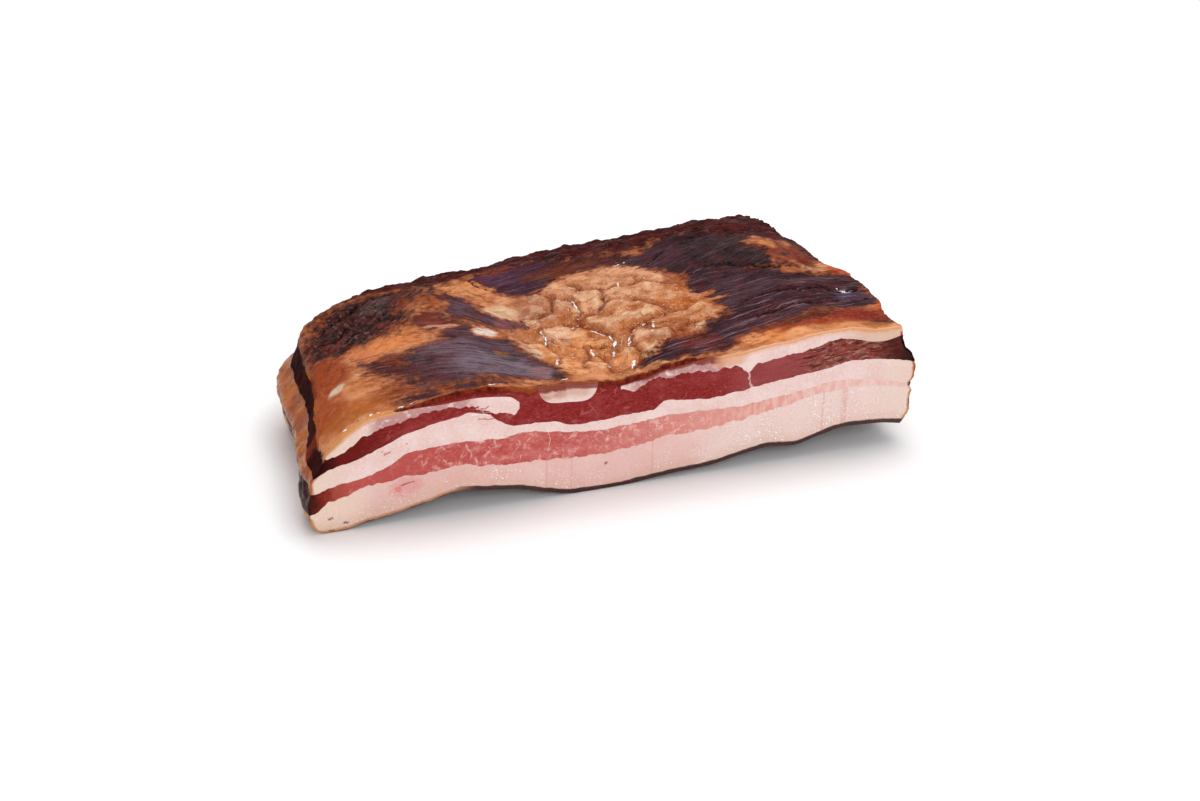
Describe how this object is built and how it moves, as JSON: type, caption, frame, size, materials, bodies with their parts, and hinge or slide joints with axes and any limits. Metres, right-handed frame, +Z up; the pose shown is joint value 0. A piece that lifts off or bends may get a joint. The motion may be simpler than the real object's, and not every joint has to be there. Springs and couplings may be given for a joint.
{
  "type": "bacon slab",
  "caption": "Slab of smoked streaky bacon, rind down, cut across to show its bands of back fat, marbled lean, soft fat and dark lean under a smoked top.",
  "frame": {"origin": "middle of the slab's footprint box, at the height of the surface it rests on", "axes": "+X along the cut face, to the right as seen from in front of it; +Y from the cut face to the smoked back edge; +Z up"},
  "size_m": [0.272, 0.156, 0.0621],
  "materials": {
    "back_fat": "moist cut fat, pinkish white, with a brown smoked rind under it",
    "marbled_lean": "moist cut lean meat, rose pink with a net of fine white marbling",
    "soft_fat": "moist cut fat, pinkish white, browned on the smoked ends",
    "dark_lean": "moist dark red lean meat on the cut, dried purple brown on the smoked top",
    "smoked_fat": "glossy smoked fat, tan to orange brown, white where it is cut"
  },
  "bodies": {
    "root": {"back_fat": "back_fat", "lower_lean": "marbled_lean", "middle_fat": "soft_fat", "upper_lean": "dark_lean", "top_fat_left": "smoked_fat", "top_fat_middle": "smoked_fat", "top_fat_right": "smoked_fat"}
  },
  "joints": []
}
